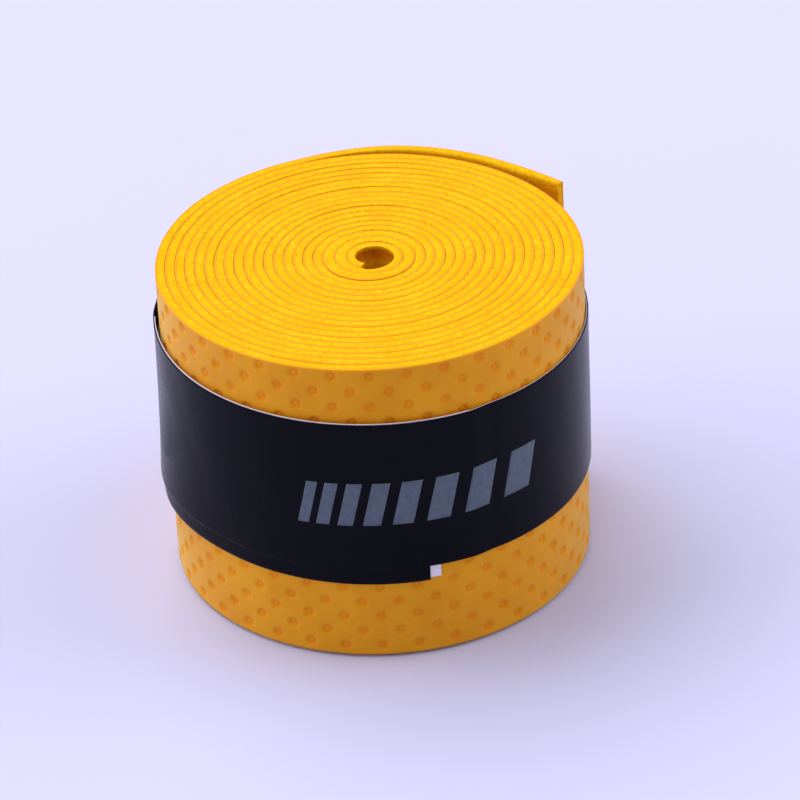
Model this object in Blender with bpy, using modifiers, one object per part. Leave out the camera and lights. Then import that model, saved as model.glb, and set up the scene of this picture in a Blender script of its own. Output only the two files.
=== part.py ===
"""A roll of racket grip tape, held by a wrapped band, with the tape's free end springing out.

The tape is a soft base with a thin polyurethane skin on its outer side. It stands on its edge,
wound clockwise seen from above, from a starting end cut to a taper at the core to a square end
at the back. A strip of glossy film on its white release liner is wrapped round the roll.

Metres, +Z up. The origin is on the roll's axis, at the level of the base. Angles are azimuths in
degrees, anticlockwise from +X. Along a strip they run down from its inner end to its outer end,
by more than a full circle where it winds, because the strips wind clockwise.
"""

import math

import bmesh
import bpy
from mathutils import Vector

MM = 0.001
FULL = 360.0

# The tape's cut size, and the gaps between its layers and turns
TAPE_WIDTH = 25.0 * MM
BASE_THICKNESS = 0.52 * MM
SKIN_THICKNESS = 0.13 * MM
LAYER_GAP = 0.03 * MM
TURN_GAP = 0.046 * MM
TAPE_THICKNESS = BASE_THICKNESS + LAYER_GAP + SKIN_THICKNESS
PITCH = TAPE_THICKNESS + TURN_GAP

# The winding, from the core out
CORE_RADIUS = 1.05 * MM
TAPE_TIP = 33.0
TAPE_START = 240.0 + 19 * FULL
FINE_STEP = 7.5
COARSE_STEP = 15.0
COARSE_TURNS = 7

# The starting end: its taper, and the adhesive with its liner on the concave face
TAPER_LENGTH = 70.0 * MM
TAPER_RISE = 17.0 * MM
ADHESIVE_THICKNESS = 0.08 * MM
STARTER_LINER_THICKNESS = 0.05 * MM
STARTER_GAP = 0.02 * MM
STARTER_LOW = 17.6 * MM
STARTER_HIGH = 22.4 * MM
STARTER_SET_BACK = 30.0
STARTER_TURNED = 705.0
STARTER_PITCH = 0.166 * MM

# The free end: the last turn comes off the roll, and its tip springs further out
LOOSE_FROM = 112.0
LOOSE_TO = 78.0
LOOSE_GAP = 0.68 * MM
TAIL_HINGE = 82.5
SPRING_FROM = 53.0
TAIL_LIFT = 0.64 * MM
HINGE_GAP = 0.1 * MM

# The band: a strip of film on a liner, one turn and a third, climbing as it winds
BAND_WIDTH = 12.5 * MM
BAND_LOW = 6.65 * MM
BAND_CLIMB = 1.35 * MM
BAND_START = 281.0
BAND_TURNED = 491.0
LINER_TAB = 3.0
BAND_CLEARANCE = 0.08 * MM
BAND_GAP = 0.02 * MM
FILM_THICKNESS = 0.08 * MM
LINER_THICKNESS = 0.06 * MM
BAND_STACK = LINER_THICKNESS + FILM_THICKNESS + 2 * BAND_GAP
STEP_UP_FROM = -60.0
PEEL_HINGE = -180.0
BRIDGE_SPAN = 27.5


def tape_radius(angle):
    """Radius of the tape's inner face."""
    turned = TAPE_START - angle
    wound = CORE_RADIUS + PITCH * turned / FULL
    wound += STARTER_PITCH * min(turned, STARTER_TURNED) / FULL
    return wound + end_lift(angle)


def end_lift(angle):
    """How far the end of the tape stands off the turn below it."""
    loosening = min(max((LOOSE_FROM - angle) / (LOOSE_FROM - LOOSE_TO), 0), 1)
    springing = max((SPRING_FROM - angle) / (SPRING_FROM - TAPE_TIP), 0)
    return LOOSE_GAP * loosening**2 * (3 - 2 * loosening) + TAIL_LIFT * springing**2


def wound_length(angle):
    """Length of tape from the starting end, on its inner face."""
    turned = TAPE_START - angle
    thick = min(turned, STARTER_TURNED)
    even = CORE_RADIUS * turned + PITCH / FULL * turned**2 / 2
    extra = STARTER_PITCH / FULL * thick * (turned - thick / 2)
    return math.radians(even + extra)


def tape_low(angle):
    """Height of the tape's lower edge, which the taper raises near the starting end."""
    return TAPER_RISE * max(1 - wound_length(angle) / TAPER_LENGTH, 0)


def outline_radius(angle):
    """Radius of the taut line round the roll and its tail, straight from the tail's tip to the roll."""
    outermost = (angle - TAPE_TIP) % FULL + TAPE_TIP
    landing = TAPE_TIP + FULL - BRIDGE_SPAN
    if outermost <= landing:
        return tape_radius(outermost) + TAPE_THICKNESS
    tip = tape_radius(TAPE_TIP) + TAPE_THICKNESS
    roll = tape_radius(landing) + TAPE_THICKNESS
    along = math.radians(outermost - landing)
    span = math.radians(BRIDGE_SPAN)
    return math.sin(span) / (math.sin(span - along) / roll + math.sin(along) / tip)


def band_layer(angle):
    """How far the band's inner face stands off the outline: one layer more where it overlaps."""
    share = (STEP_UP_FROM - angle) / FINE_STEP
    return BAND_CLEARANCE + BAND_STACK * min(max(share, 0), 1)


def film_radius(angle):
    """Radius of the film's inner face. Past the peel hinge it has no liner behind it."""
    unbacked = min(max((PEEL_HINGE - angle) / FINE_STEP, 0), 1)
    backing = (LINER_THICKNESS + BAND_GAP) * (1 - unbacked)
    return outline_radius(angle) + band_layer(angle) + backing


def liner_radius(angle):
    return outline_radius(angle) + band_layer(angle)


def band_low(angle):
    return BAND_LOW + BAND_CLIMB * (BAND_START - angle) / FULL


def stops(start, end, step, extra=()):
    """Angles from start down to end: both ends, every multiple of step, and any extra ones."""
    count = math.ceil(start / step) - math.floor(end / step)
    found = {math.ceil(start / step) * step - i * step for i in range(count + 1)}
    between = {angle for angle in found | set(extra) if end < angle < start}
    return sorted(between | {start, end}, reverse=True)


def tape_stops(start, end):
    """Coarser near the core, where the turns are small."""
    fine_from = TAPE_START - COARSE_TURNS * FULL
    if start <= fine_from:
        return stops(start, end, FINE_STEP)
    middle = max(fine_from, end)
    inner = stops(start, middle, COARSE_STEP)
    return inner + stops(middle, end, FINE_STEP)[1:] if middle > end else inner


def band_stops(start, end):
    """The same angles in both layers, so that the outer one never cuts the ends of the inner one."""
    ends = [BAND_START + LINER_TAB, BAND_START, TAPE_TIP, TAPE_TIP - BRIDGE_SPAN]
    return stops(start, end, FINE_STEP, ends + [angle - FULL for angle in ends])


def at(angle, radius, height):
    turn = math.radians(angle)
    return Vector((radius * math.cos(turn), radius * math.sin(turn), height))


def make_material(name, colour, roughness):
    """colour is linear red, green and blue."""
    material = bpy.data.materials.new(name)
    material.use_nodes = True
    shader = material.node_tree.nodes["Principled BSDF"]
    shader.inputs["Base Color"].default_value = (*colour, 1)
    shader.inputs["Roughness"].default_value = roughness
    shader.inputs["Metallic"].default_value = 0
    material.diffuse_color = (*colour, 1)
    return material


def make_strip(name, angles, radius, low, high, thickness, material):
    """A curved strip standing on edge: an open surface at radius(angle), made thick outwards."""
    shell = bmesh.new()
    rows = []
    for angle in angles:
        ends = [at(angle, radius(angle), edge(angle)) for edge in (low, high)]
        rows.append([shell.verts.new(point) for point in ends])
    for here, there in zip(rows, rows[1:]):
        shell.faces.new((there[0], here[0], here[1], there[1]))
    for face in shell.faces:
        face.smooth = True
    for edge in shell.edges:
        edge.smooth = not edge.is_boundary
    mesh = bpy.data.meshes.new(name)
    shell.to_mesh(mesh)
    shell.free()
    mesh.materials.append(material)
    strip = bpy.data.objects.new(name, mesh)
    solidify = strip.modifiers.new("thickness", "SOLIDIFY")
    solidify.thickness = thickness
    solidify.offset = 1
    solidify.use_even_offset = True
    return strip


def make_tape_length(prefix, angles, base_material, skin_material):
    """A length of the tape: the base, and the skin on its outer side."""
    top = lambda angle: TAPE_WIDTH
    skin_offset = BASE_THICKNESS + LAYER_GAP
    skin_radius = lambda angle: tape_radius(angle) + skin_offset
    base = make_strip(
        prefix + "_base", angles, tape_radius, tape_low, top, BASE_THICKNESS, base_material
    )
    skin = make_strip(
        prefix + "_skin", angles, skin_radius, tape_low, top, SKIN_THICKNESS, skin_material
    )
    return [base, skin]


def make_starter():
    """The strip of adhesive inside the starting end, and the release liner that covers it."""
    angles = tape_stops(TAPE_START - STARTER_SET_BACK, TAPE_START - STARTER_TURNED)
    adhesive_depth = STARTER_GAP + ADHESIVE_THICKNESS
    liner_depth = adhesive_depth + STARTER_GAP + STARTER_LINER_THICKNESS
    layers = [
        ("starter_adhesive", adhesive_depth, ADHESIVE_THICKNESS, (0.62, 0.60, 0.52), 0.35),
        ("starter_liner", liner_depth, STARTER_LINER_THICKNESS, (0.80, 0.78, 0.74), 0.50),
    ]
    made = []
    for name, depth, thickness, colour, roughness in layers:
        face = lambda angle, depth=depth: tape_radius(angle) - depth
        low = lambda angle: STARTER_LOW
        high = lambda angle: STARTER_HIGH
        material = make_material(name, colour, roughness)
        made.append(make_strip(name, angles, face, low, high, thickness, material))
    return made


def make_band_strip(name, start, end, radius, thickness, material):
    high = lambda angle: band_low(angle) + BAND_WIDTH
    return make_strip(name, band_stops(start, end), radius, band_low, high, thickness, material)


def add_pivot(name, place, pieces, collection):
    """An empty on a moving body's joint axis, with the body's pieces parented to it."""
    pivot = bpy.data.objects.new(name, None)
    pivot.empty_display_size = 5 * MM
    pivot.location = place
    collection.objects.link(pivot)
    for piece in pieces:
        piece.parent = pivot
        piece.location = -place


def half_gap(radius):
    """Half of a hinge's gap as an angle at this radius."""
    return math.degrees(HINGE_GAP / 2 / radius)


def main():
    for old in list(bpy.data.objects):
        bpy.data.objects.remove(old, do_unlink=True)
    collection = bpy.data.collections.new("grip_tape_roll")
    bpy.context.scene.collection.children.link(collection)

    base_material = make_material("tape_base", (0.86, 0.51, 0.03), 0.90)
    skin_material = make_material("tape_skin", (0.72, 0.32, 0.02), 0.55)
    film_material = make_material("band_film", (0.008, 0.008, 0.014), 0.18)
    liner_material = make_material("band_liner", (0.80, 0.76, 0.80), 0.45)

    tail_gap = half_gap(tape_radius(TAIL_HINGE))
    wound = make_tape_length(
        "tape", tape_stops(TAPE_START, TAIL_HINGE + tail_gap), base_material, skin_material
    )
    tail = make_tape_length(
        "tail", tape_stops(TAIL_HINGE - tail_gap, TAPE_TIP), base_material, skin_material
    )
    starter = make_starter()

    band_end_angle = BAND_START - BAND_TURNED
    peel_gap = half_gap(film_radius(PEEL_HINGE))
    film = make_band_strip(
        "band_film", BAND_START, PEEL_HINGE + peel_gap, film_radius, FILM_THICKNESS, film_material
    )
    liner = make_band_strip(
        "band_liner",
        BAND_START + LINER_TAB,
        PEEL_HINGE + peel_gap,
        liner_radius,
        LINER_THICKNESS,
        liner_material,
    )
    film_end = make_band_strip(
        "band_end", PEEL_HINGE - peel_gap, band_end_angle, film_radius, FILM_THICKNESS, film_material
    )

    for piece in wound + tail + starter + [film, liner, film_end]:
        collection.objects.link(piece)

    middle = TAPE_WIDTH / 2
    tail_axis = at(TAIL_HINGE, tape_radius(TAIL_HINGE) + TAPE_THICKNESS / 2, middle)
    peel_axis = at(PEEL_HINGE, film_radius(PEEL_HINGE) + FILM_THICKNESS / 2, middle)
    add_pivot("tail_pivot", tail_axis, tail, collection)
    add_pivot("peel_pivot", peel_axis, [film_end], collection)
    add_pivot("band_slider", Vector((0, 0, middle)), [film, liner], collection)


main()
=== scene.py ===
"""The looks of a roll of racket grip tape: a dimpled tape with a felted edge, and a glossy film band.

Metres, +Z up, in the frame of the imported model. Angles are azimuths in degrees, anticlockwise
from +X. Along a strip they run down from its inner end to its outer end, past full circles.
"""

import math

import bpy
import numpy as np
from mathutils import Matrix, Vector


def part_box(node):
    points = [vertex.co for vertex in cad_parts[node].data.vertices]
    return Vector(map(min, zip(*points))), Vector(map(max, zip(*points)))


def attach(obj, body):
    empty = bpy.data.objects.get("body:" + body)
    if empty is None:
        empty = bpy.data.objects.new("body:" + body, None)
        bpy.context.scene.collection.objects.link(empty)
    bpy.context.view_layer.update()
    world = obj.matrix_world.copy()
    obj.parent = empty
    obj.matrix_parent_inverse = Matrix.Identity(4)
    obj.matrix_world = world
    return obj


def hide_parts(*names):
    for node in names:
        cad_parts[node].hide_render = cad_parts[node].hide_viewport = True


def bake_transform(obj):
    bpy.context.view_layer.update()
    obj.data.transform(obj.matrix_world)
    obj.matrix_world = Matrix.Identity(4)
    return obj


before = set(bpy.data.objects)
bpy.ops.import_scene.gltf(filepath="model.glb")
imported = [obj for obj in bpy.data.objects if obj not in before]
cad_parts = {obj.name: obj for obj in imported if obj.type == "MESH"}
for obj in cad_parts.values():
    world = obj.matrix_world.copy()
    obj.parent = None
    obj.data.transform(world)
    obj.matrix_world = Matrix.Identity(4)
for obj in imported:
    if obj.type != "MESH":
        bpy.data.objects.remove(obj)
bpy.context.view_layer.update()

MM = 0.001
FULL = 360.0

# The tape and its winding, as the frame has them, but with the turns pressed together
TAPE_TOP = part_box("tape_base")[1].z
BASE_DEPTH = 0.53 * MM
TAPE_DEPTH = 0.68 * MM
PITCH = 0.726 * MM
CORE_RADIUS = 1.05 * MM
TAPE_TIP = 33.0
TAPE_START = 240.0 + 19 * FULL
TAPER_LENGTH = 70.0 * MM
TAPER_RISE = 17.0 * MM
STARTER_TURNED = 705.0
STARTER_PITCH = 0.166 * MM
STARTER_SET_BACK = 30.0
STARTER_CELL = 0.2 * MM
STARTER_CORNER = (0.015 * MM, 0.015 * MM)
ADHESIVE_DEPTHS = (0.12 * MM, 0.02 * MM)
STARTER_LINER_DEPTHS = (0.20 * MM, 0.14 * MM)
STARTER_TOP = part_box("starter_liner")[1].z
LOOSE_FROM = 112.0
LOOSE_TO = 78.0
LOOSE_GAP = 0.68 * MM
SPRING_FROM = 53.0
TAIL_LIFT = 0.64 * MM
THIN_FROM = 48.0
THIN_BY = 0.18 * MM
ROUNDED_FROM = 106.0
ROUNDED_TO = 70.0
ROUNDED_BY = 0.2 * MM

# The last turn doesn't reach down to the floor
RAISED_FROM = 520.0
RAISED_TO = 440.0
RAISED_BY = 0.27 * MM

# The base's mesh: its cells, its (radial, vertical) corners, and extra points on its inner face
BASE_CELL = 0.3 * MM
BASE_EDGE = 0.05 * MM
BASE_EDGE_UNEVENNESS = 0.02 * MM
BASE_TOP_CORNER = (0.06 * MM, 0.04 * MM)
BASE_FOOT_CORNER = (0.05 * MM, 0.05 * MM)
STARTER_RISES = (0.0, 0.3 * MM, 0.6 * MM)
INNER_DEPTHS = (1.6 * MM, 1.3 * MM, 0.9 * MM, 0.4 * MM)

# How much painted shade darkens the base's inner face: in the core, which ends after so many degrees,
# and between the turns. The depths are measured down from the top.
CORE_SHADE_FROM = 300.0
CORE_SHADE_TO = 400.0
CORE_SHADE_STARTS = 0.15 * MM
CORE_DARK_TO = 0.6 * MM
CORE_FADED_AT = 1.3 * MM
CORE_FADED_BY = 0.85
TURN_SHADE = 0.42
TURN_SHADE_STARTS = 0.05 * MM
TURN_SHADE_FULL = 0.6 * MM

# How uneven the winding is: the upper edges' height, and the gap left between turns
EDGE_UNEVENNESS = 0.035 * MM
EDGE_PERIOD = 43 * MM
GAP_WIDTH = 0.015 * MM
GAP_MEAN = 1.1
GAP_LEAST = 0.25
GAP_PERIOD = 21 * MM
GAP_FINE_SHARE = 0.7
GAP_FINE_PERIOD = 2.9 * MM

# Where the base fills the gap to the turn inside: above the starter strip, and degrees past it
FILLED_FROM = 0.1 * MM
FILLED_TO = 0.5 * MM
FILLED_TURN = 20.0
FILLED_CORE = (-20.0, 10.0)

# Where the winding shows a wider gap: winding angle, degrees each way, and how far it opens
LOOSE_PLACES = (
    (6570, 50, 0.05 * MM),
    (6030, 85, 0.07 * MM),
    (5490, 50, 0.04 * MM),
    (4230, 45, 0.03 * MM),
    (4050, 65, 0.05 * MM),
    (1890, 45, 0.04 * MM),
    (810, 50, 0.04 * MM),
)

# Where the wound tape's fine mesh is cut: under the tail, and where the tail's own mesh begins
DIMPLES_FROM = TAPE_TIP + FULL + 3
TAIL_FROM = 120.0

# The dimples pressed into the skin, on a square lattice turned by 45 degrees
DIMPLE_PITCH = 2.585 * MM
DIMPLE_ROW = DIMPLE_PITCH / 2
DIMPLE_FIRST_ROW = 1.12 * MM
DIMPLE_FIRST_ANGLE = 238.2
DIMPLE_RADIUS = 0.47 * MM
DIMPLE_DEPTH = 0.17 * MM
DIMPLE_FLAT_SHARE = 0.5
DIMPLE_DOME = 0.28 * MM
DIMPLE_DOME_RISE = 0.95
DIMPLE_UNEVENNESS = 0.1

# The skin's mesh: its cells where it is dimpled, how far the dimples go down the hidden turns, its
# (radial, vertical) corners, and the cut top edge, which the skin's colour is painted lighter on as
# painted light
SKIN_CELL = 0.145 * MM
HIDDEN_TURN_CELL = 0.25 * MM
HIDDEN_TURN_ROWS = 1.2 * MM
SKIN_TOP_MARGIN = 0.25 * MM
SKIN_INNER_CORNER = (0.02 * MM, 0.02 * MM)
SKIN_TOP_CORNER = (0.05 * MM, 0.07 * MM)
SKIN_TOP_UNEVENNESS = 0.02 * MM
SKIN_FOOT_CORNER = (0.12 * MM, 0.16 * MM)
SKIN_BELOW_BASE = 0.01 * MM
CUT_EDGE = 0.09 * MM

# The band of film on its liner
BAND_WIDTH = 12.5 * MM
BAND_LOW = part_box("band_film")[0].z
BAND_CLIMB = 1.35 * MM
BAND_START = 281.0
BAND_TURNED = 491.0
LINER_TAB = 3.0
BAND_CLEARANCE = 0.08 * MM
BAND_GAP = 0.02 * MM
FILM_DEPTH = 0.08 * MM
LINER_DEPTH = 0.06 * MM
BAND_STACK = LINER_DEPTH + FILM_DEPTH + 2 * BAND_GAP
STEP_UP_FROM = -60.0
STEP_UP_SPAN = 7.5
PEEL_HINGE = -180.0
PEEL_FROM = -176.5
BRIDGE_SPAN = 27.5
LINER_SET_BACK = 0.16 * MM
LINER_TOP_SET_BACK = 0.01 * MM

# The film's waves and the band's mesh
BAND_RADIUS = 16 * MM
FILM_WAVE = 0.012 * MM
FILM_WAVE_SLANT = 0.4
FILM_WAVE_PERIOD = 9 * MM
BAND_STEP = 0.75
BAND_ROWS = np.linspace(0.98, 0.02, 24)
BAND_CORNER = (0.02 * MM, 0.02 * MM)

# Where the liner shows above the film, and by how much
LINER_SHOWS = (-66.5, -67.5)
LINER_SHOWS_BY = 0.06 * MM
LINER_PAST_HINGE = 1.0

# Where the band's lower edge stands off the roll: the middle, and degrees each way
FLARE_MIDDLE = 193.0
FLARE_SPREAD = 36.0
FLARE = 0.45 * MM


# Shapes along the winding

# An uneven wave's parts: how much each counts, and how much shorter each is than the one before
WAVE_SHARES = (0.5, 0.3, 0.2)
WAVE_RATIO = 1.7


def smooth(low, high, value):
    share = np.clip((value - low) / (high - low), 0, 1)
    return share * share * (3 - 2 * share)


def wobble(along, seed, period):
    """A smooth uneven wave between about -1 and 1, the same for the same seed."""
    total = 0.0
    for i, share in enumerate(WAVE_SHARES):
        turns = along * math.tau * WAVE_RATIO**i / period
        total = total + share * np.sin(turns + seed * (i + 1.3) * 2.1)
    return total


def wound_radius(angle):
    """Radius of the tape's inner face where it is wound tight."""
    turned = TAPE_START - angle
    starter = STARTER_PITCH * np.minimum(turned, STARTER_TURNED) / FULL
    return CORE_RADIUS + PITCH * turned / FULL + starter


def tape_radius(angle):
    """The same, with the last turn coming off the roll and its tip springing away."""
    loosening = smooth(0, 1, (LOOSE_FROM - angle) / (LOOSE_FROM - LOOSE_TO))
    springing = np.maximum((SPRING_FROM - angle) / (SPRING_FROM - TAPE_TIP), 0)
    return wound_radius(angle) + LOOSE_GAP * loosening + TAIL_LIFT * springing**2


def wound_length(angle):
    """Length of tape from the starting end."""
    turned = TAPE_START - angle
    thick = np.minimum(turned, STARTER_TURNED)
    even = CORE_RADIUS * turned + PITCH / FULL * turned**2 / 2
    return np.radians(even + STARTER_PITCH / FULL * thick * (turned - thick / 2))


def tape_low(angle):
    """Height of the lower edge, which the taper raises near the starting end."""
    return TAPER_RISE * np.maximum(1 - wound_length(angle) / TAPER_LENGTH, 0)


def foot(angle):
    """Height of the visible lower edge, which the last turn holds just off the floor."""
    return tape_low(angle) + RAISED_BY * smooth(0, 1, (RAISED_FROM - angle) / (RAISED_FROM - RAISED_TO))


def outline_radius(angle):
    """Radius of the taut line round the roll and its tail."""
    outermost = (angle - TAPE_TIP) % FULL + TAPE_TIP
    landing = TAPE_TIP + FULL - BRIDGE_SPAN
    tip = tape_radius(TAPE_TIP) + TAPE_DEPTH
    roll = tape_radius(landing) + TAPE_DEPTH
    along = np.radians(outermost - landing)
    span = math.radians(BRIDGE_SPAN)
    bridge = math.sin(span) / (np.sin(span - along) / roll + np.sin(along) / tip)
    return np.where(outermost > landing, bridge, tape_radius(outermost) + TAPE_DEPTH)


def liner_radius(angle):
    over = smooth(0, 1, (STEP_UP_FROM - angle) / STEP_UP_SPAN)
    return outline_radius(angle) + BAND_CLEARANCE + BAND_STACK * over


def film_radius(angle):
    """Past the peel hinge the film has no liner behind it."""
    unbacked = smooth(0, 1, (PEEL_HINGE - angle) / STEP_UP_SPAN)
    return liner_radius(angle) + (LINER_DEPTH + BAND_GAP) * (1 - unbacked)


def band_low(angle):
    return BAND_LOW + BAND_CLIMB * (BAND_START - angle) / FULL


def spaced(start, end, spacing, most=3.0):
    """Angles from start down to end, a given distance apart on the tape, at most so many degrees."""
    angles = [start]
    while angles[-1] > end:
        step = min(most, math.degrees(spacing / tape_radius(angles[-1])))
        angles.append(angles[-1] - step)
    angles[-1] = end
    return np.array(angles)


# Mesh making

def quarter(corner, size, turn, steps):
    """Offsets and heights of a rounded corner.

    size is its (radial, vertical) radii, and turn is the angle that it starts at.
    """
    made = []
    for i in range(steps + 1):
        at = math.radians(turn - 90 * i / steps)
        made.append((corner[0] + size[0] * math.cos(at), corner[1] + size[1] * math.sin(at)))
    return made


def section(inner, outer, low, high, top_in, top_out, bottom, rows=(), steps=3, inner_rows=()):
    """A strip's cross-section, and the first and last indices of its rows.

    Its (offset, height) pairs go up the inner face, over the top, down the outer face and back.

    top_in, top_out and bottom are its corners' (radial, vertical) radii, rows are the
    heights of extra points down the outer face, and inner_rows of those up the inner face.
    """
    points = [(inner, row) for row in inner_rows]
    points += quarter((inner + top_in[0], high - top_in[1]), top_in, 180, steps)
    points += quarter((outer - top_out[0], high - top_out[1]), top_out, 90, steps)
    first_row = len(points)
    points += [(outer, row) for row in rows]
    last_row = len(points)
    points += quarter((outer - bottom[0], low + bottom[1]), bottom, 0, steps)
    points += quarter((inner + bottom[0], low + bottom[1]), bottom, -90, steps)
    return points, first_row, last_row


def stacked(points, count):
    """Each section point as two arrays of that length, one value for each angle."""
    offsets = np.stack([np.broadcast_to(offset, count) for offset, _ in points], axis=1)
    heights = np.stack([np.broadcast_to(height, count) for _, height in points], axis=1)
    return offsets.astype(float), heights.astype(float)


def sweep(name, angles, radii, heights, material):
    """A closed strip: one ring of points at each angle, joined along it and capped at both ends."""
    turn = np.radians(angles)[:, None]
    places = np.stack([radii * np.cos(turn), radii * np.sin(turn), heights], axis=2)
    count, around = radii.shape
    index = np.arange(count * around).reshape(count, around)
    after = np.roll(index, -1, axis=1)
    quads = np.stack([index[:-1], after[:-1], after[1:], index[1:]], axis=2).reshape(-1, 4)
    faces = quads.tolist() + [index[0][::-1].tolist(), index[-1].tolist()]
    mesh = bpy.data.meshes.new(name)
    mesh.from_pydata(places.reshape(-1, 3), [], faces)
    mesh.materials.append(material)
    mesh.shade_smooth()
    mesh.set_sharp_from_angle(angle=math.radians(50))
    piece = bpy.data.objects.new(name, mesh)
    bpy.context.scene.collection.objects.link(piece)
    return piece


def write_values(piece, name, values):
    """Keeps one value for each point of a swept strip, for its material."""
    attribute = piece.data.attributes.new(name, "FLOAT", "POINT")
    attribute.data.foreach_set("value", values.astype(np.float32).ravel())


def dimple_depth(along, height):
    """How deep the skin is pressed: a round crater with a small dome in it."""
    row = np.round((height - DIMPLE_FIRST_ROW) / DIMPLE_ROW)
    place = along / DIMPLE_PITCH - 0.5 * (row % 2)
    column = np.round(place)
    away = np.hypot((place - column) * DIMPLE_PITCH, height - DIMPLE_FIRST_ROW - row * DIMPLE_ROW)
    crater = 1 - smooth(DIMPLE_FLAT_SHARE * DIMPLE_RADIUS, DIMPLE_RADIUS, away)
    dome = 1 - smooth(0, DIMPLE_DOME, away)
    varied = np.sin(7.1 * row + 3.7 * column) * np.cos(2.3 * column - 5.9 * row)
    return DIMPLE_DEPTH * (1 + DIMPLE_UNEVENNESS * varied) * (crater - DIMPLE_DOME_RISE * dome)


# The tape

def turn_gap(angle):
    """The gap to the turn inside, between strips of the tape's plain thickness."""
    inside = np.minimum(angle + FULL, TAPE_START)
    return wound_radius(angle) - wound_radius(inside) - TAPE_DEPTH


def opened(angle):
    """The gap that is left once the soft base has filled the rest of it."""
    along = wound_length(angle)
    uneven = wobble(along, 3.3, GAP_PERIOD) + GAP_FINE_SHARE * wobble(along, 6.1, GAP_FINE_PERIOD)
    width = GAP_WIDTH * np.maximum(GAP_MEAN + uneven, GAP_LEAST)
    for middle, spread, extra in LOOSE_PLACES:
        width = width + extra * (1 - smooth(0.5 * spread, spread, np.abs(angle - middle)))
    return width


def swell(angle, height):
    """How far the base swells inwards to meet the turn inside it.

    It does so all the way down past the starter strip, and only above the strip before that.
    """
    turned = TAPE_START - angle
    share = smooth(STARTER_TOP + FILLED_FROM, STARTER_TOP + FILLED_TO, height)
    share = np.maximum(share, smooth(0, FILLED_TURN, turned - FULL - STARTER_TURNED))
    return share * smooth(*FILLED_CORE, turned - FULL) * (turn_gap(angle) - opened(angle))


def edge_height(angle):
    """The turns' upper edges, which don't lie quite level."""
    along = wound_length(angle)
    return TAPE_TOP + EDGE_UNEVENNESS * (wobble(along, 4.1, EDGE_PERIOD) - 1)


def base_strip(name, start, end, material):
    """The soft base, thinned and rounded towards its tip."""
    angles = spaced(start, end, BASE_CELL)
    along = wound_length(angles)
    thinned = smooth(0, 1, (THIN_FROM - angles) / (THIN_FROM - TAPE_TIP))
    rounded = smooth(0, 1, (ROUNDED_FROM - angles) / (ROUNDED_FROM - ROUNDED_TO))
    worn = BASE_EDGE + ROUNDED_BY * rounded
    top_in = (worn + BASE_EDGE_UNEVENNESS * wobble(along, 2.2, 9 * MM), worn)
    inner_rows = [STARTER_TOP + rise for rise in STARTER_RISES]
    inner_rows += [TAPE_TOP - depth for depth in INNER_DEPTHS]
    points, _, _ = section(
        THIN_BY * thinned,
        BASE_DEPTH,
        foot(angles),
        edge_height(angles),
        top_in,
        BASE_TOP_CORNER,
        BASE_FOOT_CORNER,
        inner_rows=inner_rows,
    )
    offsets, heights = stacked(points, len(angles))
    across = 1 - offsets / BASE_DEPTH
    inner_face = across > 0.5
    below = edge_height(angles)[:, None] - heights
    offsets -= across * swell(angles[:, None], heights)
    piece = sweep(name, angles, tape_radius(angles)[:, None] + offsets, heights, material)
    # Painted shade on the inner face, kept as its "inside" value: just below the rim in the core's
    # hole, fading deeper down, and growing with depth between the turns.
    in_core = 1 - smooth(CORE_SHADE_FROM, CORE_SHADE_TO, TAPE_START - angles[:, None])
    faded = CORE_FADED_BY * smooth(CORE_DARK_TO, CORE_FADED_AT, below)
    core_shade = smooth(0, CORE_SHADE_STARTS, below) * (1 - faded)
    turn_shade = TURN_SHADE * smooth(TURN_SHADE_STARTS, TURN_SHADE_FULL, below)
    write_values(piece, "inside", inner_face * (turn_shade + (core_shade - turn_shade) * in_core))
    return piece


def skin_strip(name, start, end, spacing, rows, material):
    """The skin, dimpled where rows gives it points down its outer face."""
    angles = spaced(start, end, spacing)
    along = wound_length(angles)
    radial, vertical = SKIN_TOP_CORNER
    top_out = (radial + SKIN_TOP_UNEVENNESS * wobble(along, 5.7, 7 * MM), vertical)
    top = edge_height(angles) - SKIN_BELOW_BASE
    points, first, last = section(
        BASE_DEPTH,
        TAPE_DEPTH,
        foot(angles),
        top,
        SKIN_INNER_CORNER,
        top_out,
        SKIN_FOOT_CORNER,
        rows,
    )
    offsets, heights = stacked(points, len(angles))
    from_first = (wound_length(angles) - wound_length(DIMPLE_FIRST_ANGLE))[:, None]
    outer_face = slice(first - 1, last + 1)
    pressed = np.zeros_like(offsets)
    pressed[:, outer_face] = dimple_depth(from_first, heights[:, outer_face])
    radii = tape_radius(angles)[:, None] + offsets - pressed
    piece = sweep(name, angles, radii, heights, material)
    # How far each point is pressed in, which the skin's material paints shade in the dimples with.
    write_values(piece, "pressed", pressed / DIMPLE_DEPTH)
    # Marks the cut top edge, which the skin's material paints lighter as painted light.
    write_values(piece, "lit_cut_edge", heights > top[:, None] - CUT_EDGE)
    return piece


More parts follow.
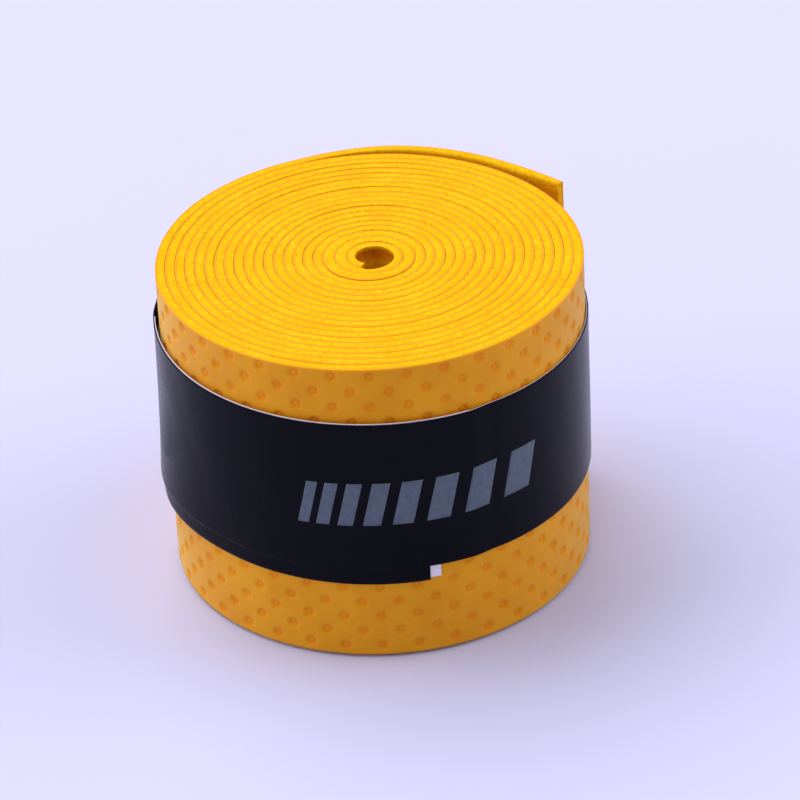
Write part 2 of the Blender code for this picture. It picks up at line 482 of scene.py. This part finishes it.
def add_tape(base_material, skin_material):
    """The wound tape and its free tail, in place of the frame's plain strips."""
    lowest_row = RAISED_BY + SKIN_FOOT_CORNER[1] + SKIN_CELL / 4
    all_rows = np.arange(TAPE_TOP - SKIN_TOP_MARGIN, lowest_row, -SKIN_CELL)
    top_rows = all_rows[: round(HIDDEN_TURN_ROWS / SKIN_CELL)]
    base = base_strip("wound_base", TAPE_START, TAIL_FROM, base_material)
    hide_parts("tape_base")
    inner_skin = skin_strip(
        "wound_skin_inner", TAPE_START, DIMPLES_FROM, HIDDEN_TURN_CELL, top_rows, skin_material
    )
    dimpled = (SKIN_CELL, all_rows, skin_material)
    skin = skin_strip("wound_skin_outer", DIMPLES_FROM, TAIL_FROM, *dimpled)
    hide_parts("tape_skin")
    tail_base = base_strip("tail_end_base", TAIL_FROM, TAPE_TIP, base_material)
    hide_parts("tail_base")
    tail_skin = skin_strip("tail_end_skin", TAIL_FROM, TAPE_TIP, *dimpled)
    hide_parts("tail_skin")
    for piece in (base, inner_skin, skin):
        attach(piece, "roll")
    for piece in (tail_base, tail_skin):
        bend_at(piece)


def bend_at(piece):
    """Bakes a strip's placement into its mesh."""
    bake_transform(piece)


def add_starter(adhesive_material, liner_material):
    """The adhesive strip and its liner, on the inner face of the tape's start."""
    layers = [
        ("starter_adhesive", ADHESIVE_DEPTHS, adhesive_material),
        ("starter_liner", STARTER_LINER_DEPTHS, liner_material),
    ]
    angles = spaced(TAPE_START - STARTER_SET_BACK, TAPE_START - STARTER_TURNED, STARTER_CELL)
    for node, (deep, near), material in layers:
        low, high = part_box(node)
        corners = [STARTER_CORNER] * 3
        points, _, _ = section(-deep, -near, low.z, high.z, *corners)
        offsets, heights = stacked(points, len(angles))
        radii = tape_radius(angles)[:, None] + offsets
        piece = sweep(node + "_strip", angles, radii, heights, material)
        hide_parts(node)
        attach(piece, "roll")


# The band

def film_waves(angle, height):
    """How far the film stands out or in: long shallow waves that slant across it."""
    around = np.radians(angle) * BAND_RADIUS
    return FILM_WAVE * wobble(around + FILM_WAVE_SLANT * height, 1.9, FILM_WAVE_PERIOD)


def flare(angle, height):
    """How far the band's lower edge stands off at one side."""
    azimuth = np.mod(angle, FULL)
    beside = 1 - smooth(0, 1, np.abs(azimuth - FLARE_MIDDLE) / FLARE_SPREAD)
    down = np.clip(1 - (height - band_low(angle)) / BAND_WIDTH, 0, 1)
    return FLARE * beside * down**2


def band_strip(name, start, end, radius, depth, low_lift, high_lift, material, wavy):
    """One layer of the band. radius and high_lift are functions of the angle."""
    angles = np.linspace(start, end, round(abs(start - end) / BAND_STEP) + 1)
    low = band_low(angles) + low_lift
    high = band_low(angles) + BAND_WIDTH + high_lift(angles)
    rows = [low + (high - low) * share for share in BAND_ROWS]
    corners = [BAND_CORNER] * 3
    points, _, _ = section(0, depth, low, high, *corners, rows, steps=2)
    offsets, heights = stacked(points, len(angles))
    radii = radius(angles)[:, None] + offsets + flare(angles[:, None], heights)
    if wavy:
        radii = radii + film_waves(angles[:, None], heights)
    return sweep(name, angles, radii, heights, material)


def film_edge(angle):
    return 0 * angle


def liner_edge(angle):
    """How far the liner stands above the film, once the band overlaps itself. Before, it is lower."""
    showing = smooth(*LINER_SHOWS, angle)
    return LINER_SHOWS_BY * showing - LINER_TOP_SET_BACK * (1 - showing)


def add_band(film_material, liner_material):
    """The film, its end past the peel hinge, and the liner behind the rest of it."""
    band_end = BAND_START - BAND_TURNED
    film_layer = (film_radius, FILM_DEPTH, 0, film_edge, film_material, True)
    film = band_strip("film_band", BAND_START, PEEL_FROM, *film_layer)
    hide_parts("band_film")
    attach(film, "band")
    film_end = band_strip("film_band_end", PEEL_FROM, band_end, *film_layer)
    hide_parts("band_end")
    bend_at(film_end)
    liner = band_strip(
        "release_liner",
        BAND_START + LINER_TAB,
        PEEL_HINGE + LINER_PAST_HINGE,
        liner_radius,
        LINER_DEPTH,
        LINER_SET_BACK,
        liner_edge,
        liner_material,
        False,
    )
    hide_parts("band_liner")
    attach(liner, "band")


# The printed bars: a plain row that narrows to one side
PRINT_FROM = 311.3 - FULL
PRINT_LENGTH = 18.6 * MM
PRINT_LOW = 12.0 * MM
PRINT_HIGH = 15.6 * MM
PRINT_SLANT = math.radians(13)
PRINT_RADIUS = 16.2 * MM
INK_DEPTH = 0.006 * MM
BAR_COUNT = 8
BAR_SHRINK = 0.86
BAR_GAP = 0.55
BAR_COLUMNS = 10
BAR_ROWS = 12


def bar_mesh(name, start, width, material):
    """One slanted bar on the film's outer face. start is how far along the print it begins."""
    across = start + width * np.linspace(0, 1, BAR_COLUMNS)[None, :]
    height = np.linspace(PRINT_LOW, PRINT_HIGH, BAR_ROWS)[:, None]
    lean = (height - PRINT_LOW) * math.tan(PRINT_SLANT)
    angle = PRINT_FROM - np.degrees((across - lean) / PRINT_RADIUS)
    height = height + 0 * across
    radius = film_radius(angle) + FILM_DEPTH + film_waves(angle, height) + INK_DEPTH / 2
    turn = np.radians(angle)
    places = np.stack([radius * np.cos(turn), radius * np.sin(turn), height], axis=2)
    index = np.arange(BAR_ROWS * BAR_COLUMNS).reshape(BAR_ROWS, BAR_COLUMNS)
    quads = np.stack([index[:-1, 1:], index[:-1, :-1], index[1:, :-1], index[1:, 1:]], axis=2)
    mesh = bpy.data.meshes.new(name)
    mesh.from_pydata(places.reshape(-1, 3), [], quads.reshape(-1, 4).tolist())
    mesh.materials.append(material)
    mesh.shade_smooth()
    piece = bpy.data.objects.new(name, mesh)
    bpy.context.scene.collection.objects.link(piece)
    thick = piece.modifiers.new("ink", "SOLIDIFY")
    thick.thickness = INK_DEPTH
    thick.offset = 0
    return piece


def add_print(material):
    """Bars that narrow towards the left, with gaps that narrow with them."""
    shares = [BAR_SHRINK**i for i in range(BAR_COUNT)]
    unit = PRINT_LENGTH / (sum(shares) * (1 + BAR_GAP))
    start = 0.0
    for i, share in enumerate(shares):
        piece = bar_mesh(f"print_bar_{i + 1}", start, unit * share, material)
        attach(piece, "band")
        start += unit * share * (1 + BAR_GAP)


# Materials

# A noise value's usual range, and how dark the liner's darker patches are
NOISE_LOW = 0.3
NOISE_HIGH = 0.7
LINER_SHADE = 0.92


def linear(*colour):
    """A screen colour, 0 to 255, as linear light."""
    return [(c / 255 / 12.92) if c <= 10 else ((c / 255 + 0.055) / 1.055) ** 2.4 for c in colour]


class Shader:
    """A material, with a method for each kind of node that it is made of."""

    def __init__(self, name, roughness, specular=0.5):
        self.material = bpy.data.materials.new(name)
        self.material.use_nodes = True
        self.nodes = self.material.node_tree.nodes
        self.links = self.material.node_tree.links
        self.surface = self.nodes["Principled BSDF"]
        self.surface.inputs["Roughness"].default_value = roughness
        self.surface.inputs["Specular IOR Level"].default_value = specular
        self.place = self.nodes.new("ShaderNodeTexCoord").outputs["Object"]

    def noise(self, size, detail=3.0, stretch=(1, 1, 1)):
        """Noise with features of about that size, in metres."""
        mapping = self.nodes.new("ShaderNodeMapping")
        mapping.inputs["Scale"].default_value = stretch
        self.links.new(self.place, mapping.inputs["Vector"])
        texture = self.nodes.new("ShaderNodeTexNoise")
        texture.inputs["Scale"].default_value = 1 / size
        texture.inputs["Detail"].default_value = detail
        self.links.new(mapping.outputs["Vector"], texture.inputs["Vector"])
        return texture.outputs["Fac"]

    def ramp(self, value, stops):
        """Colours along a value, as (place, linear colour) pairs."""
        node = self.nodes.new("ShaderNodeValToRGB")
        for i, (place, colour) in enumerate(stops):
            element = node.color_ramp.elements[i] if i < 2 else node.color_ramp.elements.new(place)
            element.position = place
            element.color = (*colour, 1)
        self.links.new(value, node.inputs["Fac"])
        return node.outputs["Color"]

    def attribute(self, name):
        """A value that the mesh holds at each of its points."""
        node = self.nodes.new("ShaderNodeAttribute")
        node.attribute_name = name
        return node.outputs["Fac"]

    def mix(self, share, first, second, way="MIX"):
        """Two colours mixed by a value. Each colour is a node's output or three linear values."""
        node = self.nodes.new("ShaderNodeMix")
        node.data_type = "RGBA"
        node.blend_type = way
        self.links.new(share, node.inputs["Factor"])
        for socket, colour in ((node.inputs[6], first), (node.inputs[7], second)):
            if isinstance(colour, tuple):
                socket.default_value = (*colour, 1)
            else:
                self.links.new(colour, socket)
        return node.outputs[2]

    def tinted(self, colour, tint):
        """A colour multiplied by another."""
        node = self.nodes.new("ShaderNodeMix")
        node.data_type = "RGBA"
        node.blend_type = "MULTIPLY"
        node.inputs["Factor"].default_value = 1
        self.links.new(colour, node.inputs[6])
        node.inputs[7].default_value = (*tint, 1)
        return node.outputs[2]

    def spread(self, value, low, high):
        """A noise value stretched from its usual range to low..high."""
        node = self.nodes.new("ShaderNodeMapRange")
        node.inputs["From Min"].default_value = NOISE_LOW
        node.inputs["From Max"].default_value = NOISE_HIGH
        node.inputs["To Min"].default_value = low
        node.inputs["To Max"].default_value = high
        self.links.new(value, node.inputs["Value"])
        return node.outputs["Result"]

    def bump(self, value, depth, onto=None):
        node = self.nodes.new("ShaderNodeBump")
        node.inputs["Distance"].default_value = depth
        self.links.new(value, node.inputs["Height"])
        if onto is not None:
            self.links.new(onto, node.inputs["Normal"])
        return node.outputs["Normal"]

    def paint(self, socket, value):
        self.links.new(value, self.surface.inputs[socket])


def base_material():
    """The felted base, seen on the tape's edges: bright, soft, mottled and slightly fibrous, with
    painted shade on its inner face in the core and between the turns.
    """
    shader = Shader("tape_base", 0.95, 0.02)
    broad = shader.noise(2.2 * MM)
    colour = shader.ramp(broad, [(0.35, (0.86, 0.465, 0.006)), (0.65, (0.91, 0.525, 0.009))])
    felt = shader.noise(0.3 * MM, 4)
    mottle = shader.ramp(felt, [(0.35, (0.86, 0.74, 0.60)), (0.55, (1.0, 1.0, 1.0))])
    felted = shader.mix(shader.spread(broad, 0.7, 1.0), colour, mottle, "MULTIPLY")
    # Painted shade: the inner face is tinted darker by its "inside" value.
    inside = shader.tinted(felted, (0.58, 0.27, 0.12))
    shader.paint("Base Color", shader.mix(shader.attribute("inside"), felted, inside))
    fibres = shader.noise(0.09 * MM, 5)
    shader.paint("Normal", shader.bump(fibres, 0.03 * MM, shader.bump(felt, 0.06 * MM)))
    return shader.material


def skin_material():
    """The polyurethane skin: a satin grain, uneven in colour, with painted shade in the dimples and
    painted light on its cut top edge.
    """
    shader = Shader("tape_skin", 0.5, 0.12)
    broad = shader.noise(3.5 * MM)
    plain = shader.ramp(broad, [(0.35, (0.72, 0.283, 0.004)), (0.65, (0.77, 0.322, 0.006))])
    # Painted shade in the dimples: the colour darkened and deepened by how far the skin is pressed in.
    share = shader.ramp(shader.attribute("pressed"), [(0.05, (0, 0, 0)), (0.8, (1, 1, 1))])
    dimpled = shader.mix(share, plain, shader.tinted(plain, (1.08, 0.82, 0.08)))
    # Painted light: the cut top edge is painted lighter, where light falls on it from above.
    lit_cut_edge = (0.87, 0.345, 0.001)
    shader.paint("Base Color", shader.mix(shader.attribute("lit_cut_edge"), dimpled, lit_cut_edge))
    shader.paint("Roughness", shader.spread(shader.noise(0.6 * MM), 0.42, 0.58))
    shader.surface.inputs["Sheen Weight"].default_value = 0.35
    shader.surface.inputs["Sheen Roughness"].default_value = 0.4
    shader.surface.inputs["Sheen Tint"].default_value = (0.75, 1, 0.45, 1)
    grain = shader.noise(0.12 * MM, 4)
    shader.paint("Normal", shader.bump(grain, 0.012 * MM))
    return shader.material


def film_material():
    """Glossy black film, with faint streaks along it."""
    shader = Shader("band_film", 0.25, 0.08)
    tint = shader.noise(4 * MM)
    shader.paint(
        "Base Color",
        shader.ramp(tint, [(0.3, (0.0002, 0.0002, 0.0026)), (0.7, (0.0006, 0.0006, 0.0036))]),
    )
    streaks = shader.noise(0.5 * MM, 3, (1, 1, 6))
    shader.paint("Roughness", shader.spread(streaks, 0.2, 0.3))
    shader.paint("Normal", shader.bump(shader.noise(2.5 * MM, 2), 0.01 * MM))
    return shader.material


def liner_material(name, colour):
    """Siliconed release paper: white, smooth, with faint fibres."""
    shader = Shader(name, 0.4, 0.4)
    darker = [LINER_SHADE * part for part in colour]
    shader.paint("Base Color", shader.ramp(shader.noise(0.8 * MM), [(0.3, darker), (0.7, colour)]))
    shader.paint("Normal", shader.bump(shader.noise(0.1 * MM, 4), 0.004 * MM))
    return shader.material


def adhesive_material():
    """Pressure-sensitive adhesive: a cloudy, slightly wet film."""
    shader = Shader("starter_adhesive", 0.25, 0.5)
    cloudy = shader.noise(0.7 * MM)
    shader.paint(
        "Base Color",
        shader.ramp(cloudy, [(0.3, linear(196, 188, 165)), (0.7, linear(222, 216, 198))]),
    )
    shader.paint("Normal", shader.bump(shader.noise(0.3 * MM), 0.02 * MM))
    return shader.material


def ink_material():
    """Slate grey ink, slightly mottled."""
    shader = Shader("ink", 0.45, 0.3)
    mottle = shader.noise(0.4 * MM, 4)
    shader.paint(
        "Base Color",
        shader.ramp(mottle, [(0.3, linear(74, 86, 100)), (0.7, linear(88, 98, 113))]),
    )
    return shader.material


def floor_material():
    """A plain pale sheet, very slightly uneven."""
    shader = Shader("floor", 0.8, 0.1)
    shade = shader.noise(60 * MM, 2)
    shader.paint(
        "Base Color",
        shader.ramp(shade, [(0.3, (0.590, 0.588, 0.810)), (0.7, (0.600, 0.598, 0.820))]),
    )
    return shader.material


# The stage

CAMERA_HEIGHT_ANGLE = math.radians(32.42)
CAMERA_ROLL = math.radians(-2.88)
CAMERA_DISTANCE = 310.7 * MM
CAMERA_TARGET = Vector((1.56, 0, 12.29)) * MM
CAMERA_LENS = 186.0
CAMERA_SENSOR = 36.0
CAMERA_CLIP = (10 * MM, 10.0)

# The floor's width, the lights as (name, place, size, watts, colour), and the light all round
FLOOR_SIZE = 3.0
LIGHTS = (
    ("key", (-0.90, 1.10, 2.20), 2.6, 47.5, (1.0, 0.98, 0.97)),
    ("right", (1.70, 0.15, 1.15), 1.6, 14.5, (0.95, 0.96, 1.0)),
    ("left", (-1.80, -0.05, 1.00), 1.6, 15.0, (0.97, 0.97, 1.0)),
)
STUDIO_COLOUR = (0.93, 0.92, 1.0, 1)
STUDIO_STRENGTH = 0.61


def add_camera():
    data = bpy.data.cameras.new("camera")
    data.lens = CAMERA_LENS
    data.sensor_width = CAMERA_SENSOR
    data.clip_start, data.clip_end = CAMERA_CLIP
    camera = bpy.data.objects.new("camera", data)
    bpy.context.scene.collection.objects.link(camera)
    back = Vector((0, -math.cos(CAMERA_HEIGHT_ANGLE), math.sin(CAMERA_HEIGHT_ANGLE)))
    place = back * CAMERA_DISTANCE + Vector((0, 0, TAPE_TOP / 2))
    aim = (CAMERA_TARGET - place).to_track_quat("-Z", "Y").to_matrix().to_4x4()
    camera.matrix_world = Matrix.Translation(place) @ aim @ Matrix.Rotation(CAMERA_ROLL, 4, "Z")
    bpy.context.scene.camera = camera


def add_light(name, place, size, watts, colour):
    data = bpy.data.lights.new(name, "AREA")
    data.shape = "DISK"
    data.size = size
    data.energy = watts
    data.color = colour
    light = bpy.data.objects.new(name, data)
    bpy.context.scene.collection.objects.link(light)
    light.location = place
    light.rotation_euler = (-Vector(place)).to_track_quat("-Z", "Y").to_euler()


def add_stage():
    """The floor, the lights and the light all round."""
    mesh = bpy.data.meshes.new("floor")
    half = FLOOR_SIZE / 2
    corners = [(-half, -half, 0), (half, -half, 0), (half, half, 0), (-half, half, 0)]
    mesh.from_pydata(corners, [], [(0, 1, 2, 3)])
    mesh.materials.append(floor_material())
    floor = bpy.data.objects.new("floor", mesh)
    bpy.context.scene.collection.objects.link(floor)
    for light in LIGHTS:
        add_light(*light)
    world = bpy.data.worlds.new("studio")
    bpy.context.scene.world = world
    world.use_nodes = True
    background = world.node_tree.nodes["Background"]
    background.inputs["Color"].default_value = STUDIO_COLOUR
    background.inputs["Strength"].default_value = STUDIO_STRENGTH
    bpy.context.scene.view_settings.view_transform = "Standard"


def main():
    add_camera()
    add_stage()
    add_tape(base_material(), skin_material())
    add_starter(adhesive_material(), liner_material("starter_liner", linear(236, 231, 222)))
    add_band(film_material(), liner_material("band_liner", linear(232, 222, 236)))
    add_print(ink_material())


main()
